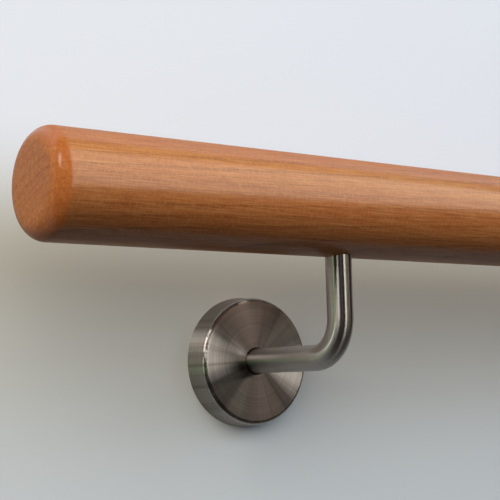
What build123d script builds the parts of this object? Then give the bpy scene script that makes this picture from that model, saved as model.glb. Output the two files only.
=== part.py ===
from build123d import *
import math
import os

# Wall handrail: a round beech rail carried by two bent-rod steel brackets.
# Millimetres. X runs along the rail, Y points into the wall and Z is up.
# The origin is the centre of the left wall plate, in the plane of the wall.

# Rail
rail_diameter = 45.0
rail_length = 1000.0
rail_end_rounding = 7.5
bracket_inset = 151.0

# Where the rail runs, from the wall and from the level part of the arm
rail_reach = 77.0
rail_rise = 67.0

# Arm, bent from round rod
rod_diameter = 12.0
bend_radius = 18.0
seat_depth = 10.0
rod_end_chamfer = 0.6
tap_depth = 20.0

# Hanger bolt, half in the arm and half in the wood
bolt_diameter = 8.0
bolt_in_arm = 16.0
bolt_in_wood = 24.0
bolt_point_length = 6.0
bolt_end_chamfer = 0.8
drill_point_angle = 118.0

# Pressed cover cup
cover_diameter = 63.5
cover_depth = 13.0
cover_draw_in = 1.0
cover_wall = 1.2
cover_edge_rounding = 2.4
cover_hole_diameter = 13.0
cover_hole_rounding = 0.3

# Wall plate under the cover
plate_thickness = 4.0
plate_edge_chamfer = 0.4
screw_hole_diameter = 6.0
screw_head_diameter = 11.5
screw_circle_diameter = 40.0
screw_count = 3
screw_sink_angle = 90.0
weld_leg = 3.0

# Sizes worked out from those above
rail_radius = rail_diameter / 2
rod_radius = rod_diameter / 2
bolt_radius = bolt_diameter / 2
cover_radius = cover_diameter / 2
cover_front_radius = cover_radius - cover_draw_in
bracket_spacing = rail_length - 2 * bracket_inset
rail_axis_height = rail_rise
rail_underside = rail_axis_height - rail_radius
rod_top = rail_underside + seat_depth
sides = {"left": 0.0, "right": bracket_spacing}


def cup_inside_radius(distance_from_wall):
    """Radius of the cover's inside, which narrows towards the room."""
    draw = cover_draw_in * distance_from_wall / cover_depth
    return cover_radius - cover_wall - draw


def upright_plane(x):
    """Plane of a section through the upright: radius across, height up."""
    return Plane(origin=(x, -rail_reach, 0), x_dir=(1, 0, 0), z_dir=(0, -1, 0))


def upright_axis(x):
    return Axis((x, -rail_reach, 0), (0, 0, 1))


def wall_axis(x):
    return Axis((x, 0, 0), (0, 1, 0))


def wood_end_points():
    """Half section of the bolt's pointed end, from its middle to its tip."""
    shoulder = rod_top + bolt_in_wood - bolt_point_length
    return [
        (0, rod_top),
        (bolt_radius, rod_top),
        (bolt_radius, shoulder),
        (0, rod_top + bolt_in_wood),
    ]


def make_rail():
    """Turned rail, rounded at both ends, bored from below for each arm and its bolt."""
    with BuildPart() as rail:
        end_plane = Plane.YZ.offset(-bracket_inset)
        with BuildSketch(end_plane):
            with Locations((-rail_reach, rail_axis_height)):
                Circle(rail_radius)
        extrude(amount=rail_length)
        fillet(rail.edges().filter_by(GeomType.CIRCLE), radius=rail_end_rounding)
        for x in sides.values():
            seat_plane = Plane.XY.offset(rod_top)
            with BuildSketch(seat_plane):
                with Locations((x, -rail_reach)):
                    Circle(rod_radius)
            extrude(amount=-2 * seat_depth, mode=Mode.SUBTRACT)
            with BuildSketch(upright_plane(x)):
                with BuildLine():
                    Polyline(*wood_end_points(), close=True)
                make_face()
            revolve(axis=upright_axis(x), mode=Mode.SUBTRACT)
    return rail


def make_arm(x):
    """Rod bent up from the wall, with a tapped hole in its upper end."""
    with BuildPart() as arm:
        with BuildLine(Plane.YZ.offset(x)) as route:
            FilletPolyline(
                (-rail_reach, rod_top),
                (-rail_reach, 0),
                (0, 0),
                radius=bend_radius,
            )
        with BuildSketch(Plane(origin=route.line @ 0, z_dir=route.line % 0)):
            Circle(rod_radius)
        sweep()
        rod_end = arm.faces().sort_by(Axis.Z)[-1]
        chamfer(rod_end.edges(), length=rod_end_chamfer)
        with BuildSketch(upright_plane(x)):
            with BuildLine():
                drill_point = bolt_radius / math.tan(math.radians(drill_point_angle / 2))
                Polyline(
                    (0, rod_top),
                    (bolt_radius, rod_top),
                    (bolt_radius, rod_top - tap_depth),
                    (0, rod_top - tap_depth - drill_point),
                    close=True,
                )
            make_face()
        revolve(axis=upright_axis(x), mode=Mode.SUBTRACT)
    return arm


def make_hanger_bolt(x):
    """Double-ended bolt: machine end down in the arm, pointed end up in the wood."""
    with BuildPart() as bolt:
        with BuildSketch(upright_plane(x)):
            with BuildLine():
                Polyline(*wood_end_points(), close=True)
            make_face()
        revolve(axis=upright_axis(x))
        with BuildSketch(Plane.XY.offset(rod_top)):
            with Locations((x, -rail_reach)):
                Circle(bolt_radius)
        extrude(amount=-bolt_in_arm)
        machine_end = bolt.faces().sort_by(Axis.Z)[0]
        chamfer(machine_end.edges(), length=bolt_end_chamfer)
    return bolt


def make_wall_plate(x):
    """Round plate with countersunk screw holes, bored for the arm's end."""
    with BuildPart() as plate:
        with BuildSketch(Plane(origin=(x, 0, 0))):
            with BuildLine():
                Polyline(
                    (rod_radius, 0),
                    (cup_inside_radius(0), 0),
                    (cup_inside_radius(plate_thickness), -plate_thickness),
                    (rod_radius, -plate_thickness),
                    close=True,
                )
            make_face()
        revolve(axis=wall_axis(x))
        front_rim = plate.edges().group_by(Axis.Y)[0].sort_by(SortBy.RADIUS)[-1]
        chamfer(front_rim, length=plate_edge_chamfer)
        front = Plane(origin=(x, -plate_thickness, 0), x_dir=(1, 0, 0), z_dir=(0, -1, 0))
        with Locations(front):
            with PolarLocations(screw_circle_diameter / 2, screw_count, start_angle=90):
                CounterSinkHole(
                    radius=screw_hole_diameter / 2,
                    counter_sink_radius=screw_head_diameter / 2,
                    depth=plate_thickness,
                    counter_sink_angle=screw_sink_angle,
                )
    return plate


def make_weld(x):
    """Fillet bead in the corner between the arm and the wall plate."""
    with BuildPart() as weld:
        with BuildSketch(Plane(origin=(x, 0, 0))):
            with BuildLine():
                Polyline(
                    (rod_radius, -plate_thickness),
                    (rod_radius + weld_leg, -plate_thickness),
                    (rod_radius, -plate_thickness - weld_leg),
                    close=True,
                )
            make_face()
        revolve(axis=wall_axis(x))
    return weld


def make_cover(x):
    """Pressed cup that slides along the arm and closes over the wall plate."""
    front = -cover_depth
    front_inside = cover_wall - cover_depth
    with BuildPart() as cover:
        with BuildSketch(Plane(origin=(x, 0, 0))) as section:
            with BuildLine():
                Polyline(
                    (cover_radius, 0),
                    (cover_front_radius, front),
                    (cover_hole_diameter / 2, front),
                    (cover_hole_diameter / 2, front_inside),
                    (cup_inside_radius(-front_inside), front_inside),
                    (cup_inside_radius(0), 0),
                    close=True,
                )
            make_face()
            front_corners = section.vertices().group_by(Axis.Y)[0].sort_by(Axis.X)
            fillet(front_corners[-1], radius=cover_edge_rounding)
            fillet(front_corners[0], radius=cover_hole_rounding)
            inner_corner = section.vertices().filter_by(
                lambda v: abs(v.Y - front_inside) < 0.01
            ).sort_by(Axis.X)[-1]
            chamfer(inner_corner, length=cover_edge_rounding - cover_wall)
        revolve(axis=wall_axis(x))
    return cover


os.makedirs("parts", exist_ok=True)

rail = make_rail()
rail.part.label = "rail"
export_step(rail.part, "parts/rail.step")

bracket_pieces = {
    "arm": make_arm,
    "wall_plate": make_wall_plate,
    "weld": make_weld,
    "cover": make_cover,
    "hanger_bolt": make_hanger_bolt,
}
for side, x in sides.items():
    for piece_name, make_piece in bracket_pieces.items():
        piece = make_piece(x)
        piece.part.label = f"{side}_{piece_name}"
        export_step(piece.part, f"parts/{piece.part.label}.step")
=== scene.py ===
import math

import bmesh
import bpy
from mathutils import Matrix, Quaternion, Vector


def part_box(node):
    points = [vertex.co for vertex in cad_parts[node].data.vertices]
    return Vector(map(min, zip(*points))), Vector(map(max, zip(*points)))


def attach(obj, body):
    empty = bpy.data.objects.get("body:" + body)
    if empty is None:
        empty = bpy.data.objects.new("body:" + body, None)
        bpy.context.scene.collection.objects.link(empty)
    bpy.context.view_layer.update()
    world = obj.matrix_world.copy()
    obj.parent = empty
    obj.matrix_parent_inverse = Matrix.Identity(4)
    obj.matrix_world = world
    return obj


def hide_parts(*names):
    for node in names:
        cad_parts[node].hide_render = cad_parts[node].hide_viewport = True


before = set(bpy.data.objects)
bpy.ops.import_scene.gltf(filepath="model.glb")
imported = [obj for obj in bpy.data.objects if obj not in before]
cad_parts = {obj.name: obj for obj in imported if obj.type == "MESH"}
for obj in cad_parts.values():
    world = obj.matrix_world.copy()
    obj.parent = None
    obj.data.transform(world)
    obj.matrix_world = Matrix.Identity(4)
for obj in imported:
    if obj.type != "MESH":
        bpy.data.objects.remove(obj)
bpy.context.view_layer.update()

MM = 0.001
METRES_TO_MM = (1000, 1000, 1000)

# Sizes read from the frame
rail_low, rail_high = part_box("rail")
arm_low, arm_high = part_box("left_arm")
cover_low, cover_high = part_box("left_cover")
bolt_low, bolt_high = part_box("left_hanger_bolt")
right_arm_low, right_arm_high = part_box("right_arm")

RAIL_RADIUS = (rail_high.y - rail_low.y) / 2
RAIL_AXIS_Y = (rail_high.y + rail_low.y) / 2
ROD_RADIUS = (arm_high.x - arm_low.x) / 2
COVER_RADIUS = (cover_high.x - cover_low.x) / 2
COVER_DEPTH = cover_high.y - cover_low.y
BOLT_RADIUS = (bolt_high.x - bolt_low.x) / 2
ROD_TOP = arm_high.z
BRACKET_X = {
    "left": (arm_high.x + arm_low.x) / 2,
    "right": (right_arm_high.x + right_arm_low.x) / 2,
}

# Sizes that the frame's boxes don't give
RAIL_AXIS_Z = 67.0 * MM
RAIL_END_ROUNDING = 7.5 * MM
SEAT_DEPTH = 10.0 * MM
BEND_RADIUS = 18.0 * MM
ROD_CHAMFER = 0.6 * MM
TAP_DEPTH = 20.0 * MM
DRILL_POINT = 2.4 * MM
BOLT_POINT = 6.0 * MM
COVER_DRAW_IN = 1.0 * MM
COVER_WALL = 1.2 * MM
COVER_EDGE = 2.4 * MM
COVER_HOLE_RADIUS = 6.5 * MM
COVER_HOLE_EDGE = 0.3 * MM

# Camera, fitted to the photograph's edges
CAMERA_PLACE = Vector((-0.34782, -0.48527, -0.01113))
CAMERA_YAW = 36.195
CAMERA_PITCH = 6.405
CAMERA_ROLL = -1.558
CAMERA_LENS = 86.0
CAMERA_SENSOR = 36.0


def object_from(name, bm):
    """Turns a bmesh into an object in the scene, with its faces turned as they are."""
    mesh = bpy.data.meshes.new(name)
    bm.to_mesh(mesh)
    bm.free()
    obj = bpy.data.objects.new(name, mesh)
    bpy.context.scene.collection.objects.link(obj)
    return obj


def solid_object(name, bm):
    """Turns a closed bmesh into an object in the scene, with all its faces outwards."""
    bmesh.ops.recalc_face_normals(bm, faces=bm.faces)
    return object_from(name, bm)


def smooth_but_sharp(obj, angle=30.0):
    """Shades the mesh smooth, with a crisp edge where faces turn by more than the angle."""
    mesh = obj.data
    mesh.polygons.foreach_set("use_smooth", [True] * len(mesh.polygons))
    mesh.set_sharp_from_angle(angle=math.radians(angle))


def ring(bm, centre, across, upward, radius, segments):
    """A ring of vertices in the plane of the two directions."""
    verts = []
    for i in range(segments):
        turn = 2 * math.pi * i / segments
        offset = across * math.cos(turn) + upward * math.sin(turn)
        verts.append(bm.verts.new(centre + offset * radius))
    return verts


def bridge(bm, first, second):
    """Band of faces between two rings."""
    count = len(first)
    for i in range(count):
        j = (i + 1) % count
        bm.faces.new((first[i], first[j], second[j], second[i]))


def close_with_point(bm, verts, point):
    """Fan of faces from a ring to one point."""
    tip = bm.verts.new(point)
    count = len(verts)
    for i in range(count):
        bm.faces.new((verts[i], verts[(i + 1) % count], tip))


def rounding_profile(start_angle, end_angle, steps):
    """Angles of a rounding from one direction to another, ends included."""
    for i in range(steps + 1):
        yield math.radians(start_angle + (end_angle - start_angle) * i / steps)


def make_rail():
    """Turned rail with rounded ends and the two blind seats bored from below."""
    segments = 256
    rounding_steps = 14
    body_steps = 160
    flat_steps = 6
    axis = Vector((0, RAIL_AXIS_Y, RAIL_AXIS_Z))
    across, upward = Vector((0, 1, 0)), Vector((0, 0, 1))
    flat_radius = RAIL_RADIUS - RAIL_END_ROUNDING
    straight_low = rail_low.x + RAIL_END_ROUNDING
    straight_high = rail_high.x - RAIL_END_ROUNDING
    stations = []
    for i in range(1, flat_steps):
        stations.append((rail_low.x, flat_radius * i / flat_steps))
    for angle in rounding_profile(0, 90, rounding_steps):
        x = straight_low - RAIL_END_ROUNDING * math.cos(angle)
        stations.append((x, flat_radius + RAIL_END_ROUNDING * math.sin(angle)))
    for i in range(1, body_steps):
        share = i / body_steps
        stations.append((straight_low + (straight_high - straight_low) * share, RAIL_RADIUS))
    for angle in rounding_profile(90, 0, rounding_steps):
        x = straight_high + RAIL_END_ROUNDING * math.cos(angle)
        stations.append((x, flat_radius + RAIL_END_ROUNDING * math.sin(angle)))
    for i in range(flat_steps - 1, 0, -1):
        stations.append((rail_high.x, flat_radius * i / flat_steps))
    bm = bmesh.new()
    rings = []
    for x, radius in stations:
        rings.append(ring(bm, axis + Vector((x, 0, 0)), across, upward, radius, segments))
    for first, second in zip(rings, rings[1:]):
        bridge(bm, first, second)
    close_with_point(bm, rings[0], axis + Vector((rail_low.x, 0, 0)))
    close_with_point(bm, rings[-1], axis + Vector((rail_high.x, 0, 0)))
    rail = solid_object("rail_turned", bm)
    for x in BRACKET_X.values():
        cut_from_rail(rail, x)
    smooth_but_sharp(rail)
    return rail


def cut_from_rail(rail, x):
    """Bores the seat of an arm and the pilot hole of its bolt."""
    segments = 96
    centre = Vector((x, RAIL_AXIS_Y, 0))
    across, upward = Vector((1, 0, 0)), Vector((0, 1, 0))
    shoulder = bolt_high.z - BOLT_POINT
    below = RAIL_AXIS_Z - RAIL_RADIUS - SEAT_DEPTH
    stations = [
        (below, ROD_RADIUS),
        (ROD_TOP, ROD_RADIUS),
        (ROD_TOP, BOLT_RADIUS),
        (shoulder, BOLT_RADIUS),
    ]
    bm = bmesh.new()
    rings = []
    for z, radius in stations:
        rings.append(ring(bm, centre + Vector((0, 0, z)), across, upward, radius, segments))
    for first, second in zip(rings, rings[1:]):
        bridge(bm, first, second)
    close_with_point(bm, rings[0], centre + Vector((0, 0, below)))
    close_with_point(bm, rings[-1], centre + Vector((0, 0, bolt_high.z)))
    cutter = solid_object("cutter", bm)
    cut = rail.modifiers.new("bore", "BOOLEAN")
    cut.operation = "DIFFERENCE"
    cut.solver = "EXACT"
    cut.object = cutter
    bpy.context.view_layer.objects.active = rail
    bpy.ops.object.modifier_apply(modifier=cut.name)
    bpy.data.objects.remove(cutter)


def arm_route(x):
    """Centre points and directions along the rod, from its upper end to the wall."""
    bend_steps = 40
    leg_steps = 24
    up_steps = 16
    y = RAIL_AXIS_Y
    for i in range(up_steps):
        z = ROD_TOP - ROD_CHAMFER + (BEND_RADIUS - ROD_TOP + ROD_CHAMFER) * i / up_steps
        yield Vector((x, y, z)), Vector((0, 0, -1))
    for i in range(bend_steps + 1):
        turn = math.pi / 2 * i / bend_steps
        centre = Vector((x, y + BEND_RADIUS, BEND_RADIUS))
        out = Vector((0, -math.cos(turn), -math.sin(turn)))
        yield centre + out * BEND_RADIUS, Vector((0, math.sin(turn), -math.cos(turn)))
    leg_start = y + BEND_RADIUS
    for i in range(1, leg_steps + 1):
        yield Vector((x, leg_start * (1 - i / leg_steps), 0)), Vector((0, 1, 0))


def make_arm(side):
    """Bent rod with its tapped hole, unrolled lengthwise so that the finish follows the bend."""
    x = BRACKET_X[side]
    segments = 96
    across = Vector((1, 0, 0))
    bm = bmesh.new()
    uv = bm.loops.layers.uv.new("along")
    route = list(arm_route(x))
    top = Vector((x, RAIL_AXIS_Y, ROD_TOP))
    down = Vector((0, 0, -1))
    stations = [
        (top + down * TAP_DEPTH, down, BOLT_RADIUS),
        (top, down, BOLT_RADIUS),
        (top, down, ROD_RADIUS - ROD_CHAMFER),
    ]
    stations += [(point, direction, ROD_RADIUS) for point, direction in route]
    rings = []
    lengths = [0.0]
    for (point, direction, radius), before in zip(stations, [None] + stations[:-1]):
        upward = direction.cross(across)
        rings.append(ring(bm, point, across, upward, radius, segments))
        if before is not None:
            lengths.append(lengths[-1] + (point - before[0]).length)
    for i in range(len(rings) - 1):
        for k in range(segments):
            m = (k + 1) % segments
            face = bm.faces.new((rings[i][k], rings[i][m], rings[i + 1][m], rings[i + 1][k]))
            turns = (k / segments, (k + 1) / segments, (k + 1) / segments, k / segments)
            places = (lengths[i], lengths[i], lengths[i + 1], lengths[i + 1])
            for loop, turn, place in zip(face.loops, turns, places):
                loop[uv].uv = (place, turn * 2 * math.pi * ROD_RADIUS)
    close_with_point(bm, rings[0], top + down * (TAP_DEPTH + DRILL_POINT))
    close_with_point(bm, rings[-1], Vector((x, 0, 0)))
    arm = solid_object(f"{side}_bent_rod", bm)
    smooth_but_sharp(arm)
    return arm


def on_circle(centre, radius, angle):
    """Point of a rounding in a section."""
    return centre[0] + radius * math.cos(angle), centre[1] + radius * math.sin(angle)


def cover_profile():
    """Half section of the cup as (radius, distance out from the wall), anticlockwise."""
    edge_steps = 12
    face_steps = 20
    hole_edge_steps = 4
    front = COVER_DEPTH
    lean = math.degrees(math.atan2(COVER_DRAW_IN, COVER_DEPTH))
    front_radius = COVER_RADIUS - COVER_DRAW_IN
    back_off = COVER_EDGE * math.tan(math.radians((90 - lean) / 2))
    centre = (front_radius - back_off, front - COVER_EDGE)
    points = [(COVER_RADIUS, 0.0)]
    for angle in rounding_profile(lean, 90, edge_steps):
        points.append(on_circle(centre, COVER_EDGE, angle))
    face_end = COVER_HOLE_RADIUS + COVER_HOLE_EDGE
    for i in range(1, face_steps):
        share = i / face_steps
        points.append((centre[0] + (face_end - centre[0]) * share, front))
    hole_centre = (face_end, front - COVER_HOLE_EDGE)
    for angle in rounding_profile(90, 180, hole_edge_steps):
        points.append(on_circle(hole_centre, COVER_HOLE_EDGE, angle))
    inside = front - COVER_WALL
    inner_front = COVER_RADIUS - COVER_WALL - COVER_DRAW_IN * inside / COVER_DEPTH
    points.append((COVER_HOLE_RADIUS, inside))
    points.append((inner_front, inside))
    points.append((COVER_RADIUS - COVER_WALL, 0.0))
    return points


def make_cover(side):
    """Pressed cup, turned about the arm's level part."""
    segments = 256
    across, upward = Vector((1, 0, 0)), Vector((0, 0, 1))
    bm = bmesh.new()
    rings = []
    for radius, out in cover_profile():
        centre = Vector((BRACKET_X[side], -out, 0))
        rings.append(ring(bm, centre, across, upward, radius, segments))
    for first, second in zip(rings, rings[1:] + rings[:1]):
        bridge(bm, first, second)
    cover = solid_object(f"{side}_cover_cup", bm)
    smooth_but_sharp(cover)
    return cover


# Materials

# Wood, with lengths in millimetres and the unevenness in rings
PITH_DISTANCE = 95.0
PITH_SIDEWAYS = 0.29
PITH_DOWN = 0.957
GRAIN_SLOPE = 0.05
RING_SPACING = 3.9
RING_SWAY = 1.6
RING_UNEVENNESS = 2.2
WOOD_RED = (0.46, 0.149, 0.041)
WOOD_OCHRE = (0.467, 0.163, 0.045)
WOOD_PALE = (0.6, 0.275, 0.1)
WOOD_DEEP = (0.31, 0.08, 0.017)
WOOD_LINE = (0.15, 0.038, 0.009)
WOOD_SOAKED = (0.4, 0.107, 0.021)

# Brushed steel of the arms and covers; the dark colour and, on the covers, the warm one are
# painted reflections
STEEL_DARK = (0.29, 0.265, 0.238)
STEEL_PALE = (0.41, 0.38, 0.35)
STEEL_WARM_TONE_AND_PAINTED_REFLECTION = (0.41, 0.365, 0.33)
STEEL_PAINTED_DARK_REFLECTION = (0.2, 0.178, 0.158)

# Steel of the pieces under the cover and in the wood
PLATE_DARK = (0.42, 0.41, 0.39)
PLATE_PALE = (0.56, 0.55, 0.53)
PLATE_STAIN = (0.46, 0.43, 0.39)
WELD_RIPPLES = 44.0
WELD_GREY = (0.36, 0.33, 0.31)
WELD_STRAW = (0.45, 0.33, 0.18)
WELD_BLUE = (0.2, 0.2, 0.3)
THREAD_PITCH = 1.25
ZINC_DARK = (0.55, 0.57, 0.6)
ZINC_PALE = (0.68, 0.7, 0.72)

# Light path outputs of the rays that show a surface in a reflection or through glass
SHOWN_RAYS = ("Is Glossy Ray", "Is Transmission Ray")


class Finish:
    """One material's node tree. Sockets and plain values can be passed alike."""

    def __init__(self, name):
        self.material = bpy.data.materials.new(name)
        self.material.use_nodes = True
        self.tree = self.material.node_tree
        self.shader = self.tree.nodes["Principled BSDF"]

    def add(self, kind, **settings):
        node = self.tree.nodes.new("ShaderNode" + kind)
        for key, setting in settings.items():
            setattr(node, key, setting)
        return node

    def put(self, socket, what):
        if isinstance(what, bpy.types.NodeSocket):
            self.tree.links.new(what, socket)
        elif socket.type == "RGBA":
            socket.default_value = (*what, 1)
        else:
            socket.default_value = what

    def set(self, **values):
        """Sets the shader's sockets, named with _ for a space."""
        for name, what in values.items():
            self.put(self.shader.inputs[name.replace("_", " ")], what)

    def math(self, operation, *values):
        node = self.add("Math", operation=operation)
        for socket, what in zip(node.inputs, values):
            self.put(socket, what)
        return node.outputs[0]

    def vector(self, operation, first, second=None):
        node = self.add("VectorMath", operation=operation)
        self.put(node.inputs[0], first)
        if second is not None:
            self.put(node.inputs[1], second)
        return node.outputs["Value" if operation in ("LENGTH", "DOT_PRODUCT") else "Vector"]

    def place(self, centre=(0, 0, 0)):
        """Position on the object in millimetres from the centre, which is in metres."""
        spot = self.add("TexCoord").outputs["Object"]
        spot = self.vector("SUBTRACT", spot, centre)
        return self.vector("MULTIPLY", spot, METRES_TO_MM)

    def split(self, what):
        node = self.add("SeparateXYZ")
        self.put(node.inputs[0], what)
        return node.outputs

    def join(self, x=0.0, y=0.0, z=0.0):
        node = self.add("CombineXYZ")
        for socket, what in zip(node.inputs, (x, y, z)):
            self.put(socket, what)
        return node.outputs[0]

    def noise(self, spot, stretch, detail=2.0, rough=0.5):
        """Noise from 0 to 1. The stretch gives the number of waves per millimetre."""
        node = self.add("TexNoise")
        self.put(node.inputs["Vector"], self.vector("MULTIPLY", spot, stretch))
        node.inputs["Scale"].default_value = 1.0
        node.inputs["Detail"].default_value = detail
        node.inputs["Roughness"].default_value = rough
        return node.outputs[0]

    def rise(self, what, low, high, start=0.0, end=1.0):
        """Goes smoothly from start to end while the value goes from low to high."""
        node = self.add("MapRange", interpolation_type="SMOOTHSTEP")
        for socket, part in zip(node.inputs, (what, low, high, start, end)):
            self.put(socket, part)
        return node.outputs[0]

    def mix(self, share, first, second):
        """Goes from the first colour to the second, through the node's colour sockets."""
        node = self.add("Mix", data_type="RGBA")
        self.put(node.inputs[0], share)
        self.put(node.inputs[6], first)
        self.put(node.inputs[7], second)
        return node.outputs[2]

    def bump(self, height, depth):
        """Bump of the given depth in millimetres for a height from 0 to 1."""
        node = self.add("Bump")
        node.inputs["Distance"].default_value = depth * MM
        self.put(node.inputs["Height"], height)
        return node.outputs[0]


def make_wood():
    """Steamed beech: 3-D growth rings, fibres and short ray marks under clear varnish."""
    f = Finish("varnished_beech")
    spot = f.place((0, RAIL_AXIS_Y, RAIL_AXIS_Z))
    along = f.split(spot)[0]

    # growth rings about a far pith that runs nearly parallel to the rail
    sway = f.noise(spot, (0.007, 0.03, 0.03), 1.0)
    pith = (0, -PITH_DISTANCE * PITH_SIDEWAYS, -PITH_DISTANCE * PITH_DOWN)
    from_pith = f.vector("SUBTRACT", spot, pith)
    radius = f.vector("LENGTH", f.vector("MULTIPLY", from_pith, (0, 1, 1)))
    radius = f.math("ADD", radius, f.math("MULTIPLY", sway, RING_SWAY))
    radius = f.math("SUBTRACT", radius, f.math("MULTIPLY", along, GRAIN_SLOPE))
    uneven = f.noise(f.join(radius), (0.11, 1, 1), 1.0)
    uneven = f.math("MULTIPLY", uneven, RING_UNEVENNESS)
    age = f.math("ADD", f.math("DIVIDE", radius, RING_SPACING), uneven)
    year = f.math("FLOOR", age)
    season = f.math("FRACT", age)
    late = f.math("POWER", season, 8.0)
    strength = f.noise(f.join(year, 4.3), (0.73, 1, 1), 0.0)
    strength = f.rise(strength, 0.3, 0.7, 0.35, 0.9)
    broken = f.noise(spot, (0.06, 0.9, 0.9), 3.0, 0.6)
    broken = f.rise(broken, 0.3, 0.55, 0.4, 1.0)
    line = f.math("MULTIPLY", late, f.math("MULTIPLY", strength, broken))

    # colour drifts from ring to ring and along the rail
    tint = f.noise(f.join(year, 9.1), (0.41, 1, 1), 0.0)
    drift = f.noise(spot, (0.008, 0.09, 0.09), 2.0)
    shade = f.math("ADD", f.math("MULTIPLY", tint, 0.5), f.math("MULTIPLY", drift, 0.5))
    colour = f.mix(f.rise(shade, 0.35, 0.65), WOOD_RED, WOOD_OCHRE)
    colour = f.mix(f.math("MULTIPLY", season, 0.2), colour, WOOD_DEEP)
    normal = f.add("NewGeometry").outputs["Normal"]
    cut = f.math("ABSOLUTE", f.vector("DOT_PRODUCT", normal, (1, 0, 0)))
    line = f.math("MULTIPLY", line, f.rise(cut, 0.5, 0.95, 0.85, 0.6))
    colour = f.mix(line, colour, WOOD_LINE)

    # long streaks, thin dark lines, short fibres and, across them, the shimmer of the rays
    streak = f.noise(spot, (0.03, 0.8, 0.8), 3.0, 0.6)
    thread = f.noise(spot, (0.014, 1.5, 1.5), 2.0, 0.5)
    fibre = f.noise(spot, (0.07, 2.2, 2.2), 3.0, 0.6)
    rays = f.noise(spot, (1.2, 0.5, 0.5), 2.0, 0.6)
    colour = f.mix(f.rise(streak, 0.5, 0.3, 0.0, 0.3), colour, WOOD_DEEP)
    colour = f.mix(f.rise(streak, 0.5, 0.7, 0.0, 0.3), colour, WOOD_PALE)
    colour = f.mix(f.rise(thread, 0.57, 0.66, 0.0, 0.38), colour, WOOD_LINE)
    lengthwise = f.rise(cut, 0.5, 1.0, 1.0, 0.35)
    dark_fibre = f.math("MULTIPLY", lengthwise, f.rise(fibre, 0.52, 0.32, 0.0, 0.38))
    pale_fibre = f.math("MULTIPLY", lengthwise, f.rise(fibre, 0.5, 0.66, 0.0, 0.5))
    colour = f.mix(dark_fibre, colour, WOOD_DEEP)
    colour = f.mix(pale_fibre, colour, WOOD_PALE)
    colour = f.mix(f.rise(rays, 0.4, 0.7, 0.0, 0.32), colour, WOOD_PALE)
    fleck = f.noise(spot, (0.2, 2.4, 2.4), 1.0)
    colour = f.mix(f.rise(fleck, 0.6, 0.74, 0.0, 0.28), colour, WOOD_LINE)

    # the rounding at the end cuts the fibres open and takes the varnish in deeper
    pores = f.noise(spot, (0.5, 1.6, 1.6), 3.0, 0.7)
    frayed = f.math("ADD", cut, f.math("MULTIPLY", streak, 0.4))
    open_grain = f.math("MULTIPLY", f.rise(frayed, 0.22, 0.45), f.rise(frayed, 1.17, 1.02))
    soaked = f.math("MULTIPLY", open_grain, f.rise(pores, 0.35, 0.6, 0.35, 0.7))
    colour = f.mix(soaked, colour, WOOD_SOAKED)
    colour = f.mix(
        f.math("MULTIPLY", f.rise(cut, 0.1, 0.5), f.rise(pores, 0.48, 0.7, 0.0, 0.3)),
        colour,
        WOOD_LINE,
    )
    f.set(Base_Color=colour)

    # satin wood under a coat that is full in front and thin on top, underneath and on the ends
    facing_up = f.vector("DOT_PRODUCT", normal, (0, -0.35, 0.94))
    coat = f.rise(facing_up, -0.75, -0.1, 0.14, 1.0)
    coat = f.math("MULTIPLY", coat, f.rise(f.split(normal)[2], 0.6, 0.9, 1.0, 0.1))
    f.set(
        Roughness=f.rise(streak, 0.3, 0.7, 0.42, 0.56),
        Specular_IOR_Level=0.15,
        Coat_Weight=f.math("MULTIPLY", f.rise(cut, 0.7, 1.0, 1.0, 0.2), coat),
        Coat_Roughness=0.2,
        Coat_IOR=1.5,
        Normal=f.bump(f.math("ADD", streak, fibre), 0.03),
        Coat_Normal=f.bump(f.math("ADD", rays, f.math("MULTIPLY", fibre, 0.5)), 0.012),
    )
    return f.material


def around_turned_axis(f, x):
    """Position, radius from the bracket's level axis, direction out from it and round it."""
    spot = f.place((x, 0, 0))
    parts = f.split(spot)
    flat = f.vector("MULTIPLY", spot, (1, 0, 1))
    circling = f.join(f.math("MULTIPLY", parts[2], -1.0), 0.0, parts[0])
    return spot, f.vector("LENGTH", flat), f.vector("NORMALIZE", flat), circling


def make_turned_steel(side):
    """Stainless steel brushed in circles, so that highlights spread from the middle outwards."""
    f = Finish(f"{side}_circular_brushed")
    spot, radius, outward, circling = around_turned_axis(f, BRACKET_X[side])
    normal = f.add("NewGeometry").outputs["Normal"]
    grain_cross = f.vector("NORMALIZE", f.vector("CROSS_PRODUCT", normal, circling))
    depth = f.split(spot)[1]
    facing_out = f.math("ABSOLUTE", f.split(normal)[1])
    rounding = f.math("MULTIPLY", f.rise(facing_out, 0.1, 0.3), f.rise(facing_out, 0.995, 0.95))
    fine = f.noise(f.join(radius, depth), (3.4, 3.4, 1), 3.0, 0.7)
    turned = f.noise(f.join(radius, depth), (1.5, 1.5, 1), 3.0, 0.7)
    # the wedges paint dark and warm reflections into the face's base colour and also vary its
    # roughness
    wedge = f.noise(outward, (3.4, 3.4, 3.4), 3.0, 0.7)
    colour = f.mix(f.rise(turned, 0.3, 0.7), STEEL_DARK, STEEL_PALE)
    colour = f.mix(f.rise(wedge, 0.35, 0.5, 0.75, 0.0), colour, STEEL_PAINTED_DARK_REFLECTION)
    colour = f.mix(f.rise(wedge, 0.5, 0.65, 0.0, 0.6), colour, STEEL_WARM_TONE_AND_PAINTED_REFLECTION)
    brushed = f.math("ADD", f.rise(wedge, 0.3, 0.7, 0.27, 0.35), f.math("MULTIPLY", fine, 0.05))
    polished = f.math("MULTIPLY", rounding, -0.1)
    f.set(
        Base_Color=colour,
        Metallic=1.0,
        Roughness=f.math("ADD", brushed, polished),
        Anisotropic=1.0,
        Tangent=grain_cross,
        Normal=f.bump(f.math("ADD", turned, f.math("MULTIPLY", fine, 0.4)), 0.006),
    )
    return f.material


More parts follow.
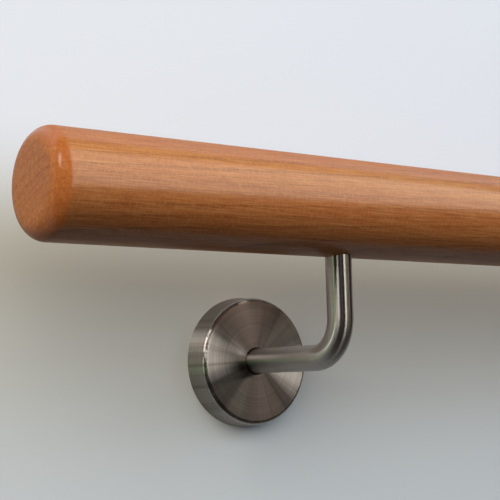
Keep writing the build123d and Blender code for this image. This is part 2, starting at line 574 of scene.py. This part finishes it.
def make_rod_steel():
    """Stainless steel brushed round the rod, so that highlights run along it."""
    f = Finish("rod_brushed")
    unrolled = f.add("UVMap", uv_map="along").outputs[0]
    unrolled = f.vector("MULTIPLY", unrolled, METRES_TO_MM)
    fine = f.noise(unrolled, (1.6, 0.04, 1), 2.0, 0.5)
    broad = f.noise(unrolled, (0.06, 0.03, 1), 2.0)
    colour = f.mix(f.rise(fine, 0.2, 0.8, 0.3, 0.7), STEEL_DARK, STEEL_PALE)
    colour = f.mix(f.rise(broad, 0.35, 0.65, 0.0, 0.4), colour, STEEL_WARM_TONE_AND_PAINTED_REFLECTION)
    tangent = f.add("Tangent", direction_type="UV_MAP", uv_map="along")
    f.set(
        Base_Color=colour,
        Metallic=1.0,
        Roughness=f.rise(broad, 0.3, 0.7, 0.31, 0.35),
        Anisotropic=1.0,
        Tangent=tangent.outputs[0],
        Normal=f.bump(fine, 0.0002),
    )
    return f.material


def make_plate_steel():
    """Pressed sheet with the dull grey of the mill and faint rolling marks."""
    f = Finish("mill_sheet")
    spot = f.place()
    rolled = f.noise(spot, (0.06, 1.0, 1.8), 4.0, 0.6)
    cloud = f.noise(spot, (0.12, 0.12, 0.12), 3.0)
    colour = f.mix(f.rise(rolled, 0.3, 0.7), PLATE_DARK, PLATE_PALE)
    colour = f.mix(f.rise(cloud, 0.35, 0.65, 0.0, 0.4), colour, PLATE_STAIN)
    f.set(
        Base_Color=colour,
        Metallic=1.0,
        Roughness=f.rise(cloud, 0.3, 0.7, 0.36, 0.5),
        Normal=f.bump(rolled, 0.01),
    )
    return f.material


def make_weld_steel(side):
    """Weld bead with ripples round the rod and straw to blue heat colours."""
    f = Finish(f"{side}_weld_bead")
    spot, radius = around_turned_axis(f, BRACKET_X[side])[:2]
    parts = f.split(spot)
    turn = f.math("ARCTAN2", parts[2], parts[0])
    ripple = f.math("SINE", f.math("MULTIPLY", turn, WELD_RIPPLES))
    uneven = f.noise(spot, (0.5, 0.5, 0.5), 3.0)
    heat = f.rise(f.math("ADD", radius, f.math("MULTIPLY", uneven, 2.0)), 7.0, 10.0)
    colour = f.mix(heat, WELD_GREY, WELD_STRAW)
    colour = f.mix(f.rise(uneven, 0.5, 0.7, 0.0, 0.5), colour, WELD_BLUE)
    f.set(
        Base_Color=colour,
        Metallic=1.0,
        Roughness=f.rise(uneven, 0.3, 0.7, 0.34, 0.52),
        Normal=f.bump(f.math("ADD", f.math("MULTIPLY", ripple, 0.5), uneven), 0.12),
    )
    return f.material


def make_bolt_steel():
    """Zinc-plated steel with rolled thread lines."""
    f = Finish("zinc_plated")
    spot = f.place()
    height = f.split(spot)[2]
    thread = f.math("PINGPONG", height, THREAD_PITCH / 2)
    grains = f.noise(spot, (0.8, 0.8, 0.8), 3.0)
    colour = f.mix(f.rise(grains, 0.3, 0.7), ZINC_DARK, ZINC_PALE)
    f.set(
        Base_Color=colour,
        Metallic=1.0,
        Roughness=f.rise(grains, 0.3, 0.7, 0.26, 0.4),
        Normal=f.bump(thread, 0.4),
    )
    return f.material


def dress(obj, material):
    """Gives the object this material alone."""
    obj.data.materials.clear()
    obj.data.materials.append(material)


steel_pieces = []
wood = make_wood()
rod_steel = make_rod_steel()
plate_steel = make_plate_steel()
bolt_steel = make_bolt_steel()

rail = make_rail()
dress(rail, wood)
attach(rail, "root")
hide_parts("rail")

for side in BRACKET_X:
    arm = make_arm(side)
    dress(arm, rod_steel)
    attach(arm, "root")
    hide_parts(f"{side}_arm")
    cover = make_cover(side)
    dress(cover, make_turned_steel(side))
    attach(cover, "root")
    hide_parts(f"{side}_cover")
    steel_pieces += [arm, cover]
    dress(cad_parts[f"{side}_wall_plate"], plate_steel)
    dress(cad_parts[f"{side}_weld"], make_weld_steel(side))
    dress(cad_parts[f"{side}_hanger_bolt"], bolt_steel)


# Stage: a pale wall and floor that show from the room side only

WALL_GAP = 0.2 * MM
WALL_HALF_WIDTH = 3.0
WALL_TOP = 2.2
FLOOR_HALF_WIDTH = 4.0
FLOOR_Z = -0.85
# the colours below the top one are painted shade under the rail, the warm one a painted warm
# shade just beneath it
WALL_HIGH = (0.76, 0.79, 0.865)
WALL_PAINTED_WARM_SHADE = (0.525, 0.507, 0.45)
WALL_PAINTED_SHADE_MIDDLE = (0.585, 0.59, 0.57)
WALL_PAINTED_SHADE_LOW = (0.575, 0.606, 0.635)
WALL_BOUNCE = (0.04, 0.04, 0.04)
FLOOR_GREY = (0.7, 0.7, 0.7)
FLOOR_BOUNCE = (0.1, 0.1, 0.1)


def upright_corners(start, end, low, high):
    """Corners of an upright rectangle over a line, whose ends are each an x and a y."""
    return [(*start, low), (*end, low), (*end, high), (*start, high)]


def level_corners(start, end, z):
    """Corners of a level rectangle between two opposite corners, each an x and a y."""
    return [(*start, z), (end[0], start[1], z), (*end, z), (start[0], end[1], z)]


def plane(name, corners, material):
    """Flat stage piece that faces the side from which its corners run anticlockwise."""
    bm = bmesh.new()
    bm.faces.new([bm.verts.new(corner) for corner in corners])
    obj = object_from(name, bm)
    dress(obj, material)
    return obj


def seen_directly(f):
    """1 for camera, glossy and transmission rays, 0 for light that bounces between surfaces."""
    path = f.add("LightPath")
    seen = path.outputs["Is Camera Ray"]
    for name in SHOWN_RAYS:
        seen = f.math("ADD", seen, path.outputs[name])
    return f.math("MINIMUM", seen, 1.0)


def stage_paint(f, colour, bounce):
    """Matt paint on the room side only, clear from behind and to rays that start against it.

    Other surfaces are lit by it as if it had the bounce colour."""
    f.set(
        Base_Color=f.mix(seen_directly(f), bounce, colour),
        Roughness=0.9,
        Specular_IOR_Level=0.0,
    )
    touching = f.math("LESS_THAN", f.add("LightPath").outputs["Ray Length"], 2 * WALL_GAP)
    see_through = f.math("MAXIMUM", f.add("NewGeometry").outputs["Backfacing"], touching)
    clear = f.add("BsdfTransparent")
    mix = f.add("MixShader")
    f.put(mix.inputs[0], see_through)
    f.put(mix.inputs[1], f.shader.outputs[0])
    f.put(mix.inputs[2], clear.outputs[0])
    f.put(f.tree.nodes["Material Output"].inputs["Surface"], mix.outputs[0])
    return f.material


def make_wall_paint():
    """Pale paint with painted shade, a little darker from the rail's height down and warmest
    just under it.
    """
    f = Finish("wall_paint")
    height = f.split(f.place())[2]
    # painted shade: darker from the rail's height down and warmest just under the rail
    colour = f.mix(f.rise(height, -60.0, 15.0), WALL_PAINTED_SHADE_LOW, WALL_PAINTED_SHADE_MIDDLE)
    colour = f.mix(f.rise(height, 10.0, 50.0), colour, WALL_PAINTED_WARM_SHADE)
    colour = f.mix(f.rise(height, 50.0, 115.0), colour, WALL_HIGH)
    return stage_paint(f, colour, WALL_BOUNCE)


def make_floor_paint():
    """Plain grey paint."""
    return stage_paint(Finish("floor_paint"), FLOOR_GREY, FLOOR_BOUNCE)


wall_ends = (-WALL_HALF_WIDTH, WALL_GAP), (WALL_HALF_WIDTH, WALL_GAP)
wall = plane("wall", upright_corners(*wall_ends, FLOOR_Z, WALL_TOP), make_wall_paint())
floor_ends = (-FLOOR_HALF_WIDTH, -FLOOR_HALF_WIDTH), (FLOOR_HALF_WIDTH, FLOOR_HALF_WIDTH)
floor = plane("floor", level_corners(*floor_ends, FLOOR_Z), make_floor_paint())

# Light

# The point beside the left bracket from which all directions are counted
CENTRE = Vector((0.02, -0.06, 0.03))


def direction(azimuth, elevation):
    """Azimuth 0 is straight out from the wall and 90 is along the rail to the right."""
    turn, lift = math.radians(azimuth), math.radians(elevation)
    return Vector(
        (math.sin(turn) * math.cos(lift), -math.cos(turn) * math.cos(lift), math.sin(lift))
    )


def soft_light(name, azimuth, elevation, width, height, brightness, colour, receivers, far=2.5):
    """Softbox over width by height degrees, seen from the bracket, for the receivers only."""
    data = bpy.data.lights.new(name, "AREA")
    data.shape = "RECTANGLE"
    data.size = 2 * far * math.tan(math.radians(width / 2))
    data.size_y = 2 * far * math.tan(math.radians(height / 2))
    data.energy = brightness * math.pi * data.size * data.size_y
    data.color = colour
    light = bpy.data.objects.new(name, data)
    bpy.context.scene.collection.objects.link(light)
    out = direction(azimuth, elevation)
    light.location = CENTRE + out * far
    light.rotation_mode = "QUATERNION"
    light.rotation_quaternion = (-out).to_track_quat("-Z", "Y")
    light.visible_camera = False
    light.visible_glossy = False
    light.light_linking.receiver_collection = receivers
    return light


def group_of(name, members):
    """Collection for light linking, outside the scene's own."""
    group = bpy.data.collections.new(name)
    for member in members:
        group.objects.link(member)
    return group


painted = group_of("painted", [wall, floor])
varnished = group_of("varnished", [rail])
brushed = group_of("brushed", steel_pieces)

soft_light("wall_left", -45, 30, 66, 50, 3.65, (1.0, 0.95, 0.83), painted)
soft_light("wall_right", 22, 28, 64, 52, 1.1, (0.72, 0.83, 0.97), painted)
soft_light("wall_far_right", 52, 30, 36, 34, 2.2, (0.72, 0.83, 0.97), painted)
soft_light("wall_above", 0, 78, 60, 24, 0.9, (1.0, 0.85, 0.6), painted)
soft_light("wood_left", -45, 34, 32, 35, 10.2, (1.0, 0.92, 0.76), varnished)
soft_light("wood_right", 15, 33, 32, 35, 1.8, (1.0, 0.96, 0.9), varnished)
back_light = soft_light("wood_back", 180, -4, 60, 40, 2.0, (1.0, 0.97, 0.92), varnished)
# it stands behind the wall, so only the part's own pieces shade it
back_light.light_linking.blocker_collection = group_of("parts", list(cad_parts.values()))


def only_reflected(obj):
    """The object shows in reflections and does nothing else."""
    obj.visible_camera = False
    obj.visible_diffuse = False
    obj.visible_transmission = False
    obj.visible_volume_scatter = False
    obj.visible_shadow = False


def glow(name, colour):
    """Material that only shines."""
    f = Finish(name)
    lamp = f.add("Emission")
    f.put(lamp.inputs["Color"], colour)
    f.put(f.tree.nodes["Material Output"].inputs["Surface"], lamp.outputs[0])
    return f.material


def card(name, corners, colour, receivers, far=2.6):
    """Panel between directions, each an azimuth and an elevation, reflected by the receivers."""
    places = [CENTRE + direction(azimuth, elevation) * far for azimuth, elevation in corners]
    obj = plane(name, places, glow(name, colour))
    only_reflected(obj)
    obj.light_linking.receiver_collection = receivers


card(
    "window_low",
    [(2, -14), (28, -3), (47, 11), (60, 18), (60, 24), (2, 24)],
    (1.95, 2.15, 2.0),
    varnished,
)
card(
    "window_middle",
    [(2, 24), (60, 24), (68, 30), (72, 40), (2, 40)],
    (2.5, 2.6, 2.15),
    varnished,
)
card(
    "window_top",
    [(2, 40), (72, 40), (66, 48), (30, 58), (2, 64)],
    (2.2, 2.35, 2.0),
    varnished,
)
card(
    "above_window",
    [(2, 64), (30, 58), (66, 48), (72, 40), (86, 42), (86, 62), (36, 76), (2, 80)],
    (0.85, 0.83, 0.45),
    varnished,
)


def gleam(name, azimuth, elevation, width, height, brightness, colour, receivers=brushed):
    """Softbox that only shows as a reflection."""
    light = soft_light(
        name, azimuth, elevation, width, height, brightness, colour, receivers, far=1.7
    )
    light.visible_glossy = True
    light.visible_diffuse = False
    light.visible_transmission = False
    light.visible_volume_scatter = False


gleam("garden", -92, -10, 10, 12, 5.0, (0.5, 1.0, 0.4))
gleam("sill", -84, 1, 8, 8, 4.3, (0.95, 1.0, 0.72))
gleam("side_window", -80, 25, 16, 20, 8.6, (1.0, 0.95, 0.88))
gleam("far_window", -60, 35, 24, 20, 7.6, (0.99, 1.0, 0.98))
gleam("low_window", -48, 10, 16, 10, 3.9, (0.97, 1.0, 0.92))
gleam("fanlight", 37, 46, 8, 9, 5.0, (1.0, 0.88, 0.82))
gleam("doorway", 12, 5, 15, 18, 7.0, (1.0, 0.98, 0.94))
gleam("door_edge", 25, 3, 10, 14, 0.9, (1.0, 0.92, 0.82))
gleam("passage", 35, 10, 10, 8, 2.8, (1.0, 0.84, 0.76))
gleam("far_wall", 52, 14, 11, 13, 1.8, (1.0, 0.97, 0.86))
gleam("room_glow", -20, 10, 14, 20, 0.45, (1.0, 0.95, 1.0))
gleam("rail_end_glint", -67, 31, 10, 16, 7.0, (1.0, 0.95, 0.88), varnished)


def make_dark_room():
    """The unlit rest of the room, as the varnish and the steel reflect it."""
    side, front, top, bottom = 3.3, -3.3, 2.6, FLOOR_Z + 0.02
    dim = glow("dark_room", (0.03, 0.027, 0.024))
    corners = {
        "room_left": upright_corners((-side, 0), (-side, front), bottom, top),
        "room_right": upright_corners((side, 0), (side, front), bottom, top),
        "room_front": upright_corners((-side, front), (side, front), bottom, top),
        "room_top": level_corners((-side, 0), (side, front), top),
        "room_bottom": level_corners((-side, 0), (side, front), bottom),
    }
    for name, places in corners.items():
        only_reflected(plane(name, places, dim))


WORLD_ON_SURFACES = 0.02
WORLD_WHERE_SEEN = 0.8


def make_world():
    """White surroundings, bright where they are seen, that hardly light any surface."""
    world = bpy.data.worlds.new("studio")
    bpy.context.scene.world = world
    world.use_nodes = True
    tree = world.node_tree
    background = tree.nodes["Background"]
    path = tree.nodes.new("ShaderNodeLightPath")
    seen = path.outputs["Is Camera Ray"]
    for name in SHOWN_RAYS:
        add = tree.nodes.new("ShaderNodeMath")
        add.operation = "ADD"
        add.use_clamp = True
        tree.links.new(seen, add.inputs[0])
        tree.links.new(path.outputs[name], add.inputs[1])
        seen = add.outputs[0]
    strength = tree.nodes.new("ShaderNodeMapRange")
    strength.inputs["To Min"].default_value = WORLD_ON_SURFACES
    strength.inputs["To Max"].default_value = WORLD_WHERE_SEEN
    tree.links.new(seen, strength.inputs["Value"])
    tree.links.new(strength.outputs[0], background.inputs["Strength"])
    background.inputs["Color"].default_value = (1, 1, 1, 1)


def make_camera():
    """The photograph's camera, from its place, its direction and its roll."""
    data = bpy.data.cameras.new("camera")
    data.lens = CAMERA_LENS
    data.sensor_width = CAMERA_SENSOR
    data.clip_start = 0.01
    data.clip_end = 20.0
    camera = bpy.data.objects.new("camera", data)
    bpy.context.scene.collection.objects.link(camera)
    yaw, pitch = math.radians(CAMERA_YAW), math.radians(CAMERA_PITCH)
    looks_along = Vector(
        (math.sin(yaw) * math.cos(pitch), math.cos(yaw) * math.cos(pitch), math.sin(pitch))
    )
    camera.location = CAMERA_PLACE
    camera.rotation_mode = "QUATERNION"
    unrolled = looks_along.to_track_quat("-Z", "Y")
    camera.rotation_quaternion = unrolled @ Quaternion((0, 0, 1), math.radians(CAMERA_ROLL))
    bpy.context.scene.camera = camera


make_dark_room()
make_world()
make_camera()

bpy.context.scene.view_settings.view_transform = "Standard"
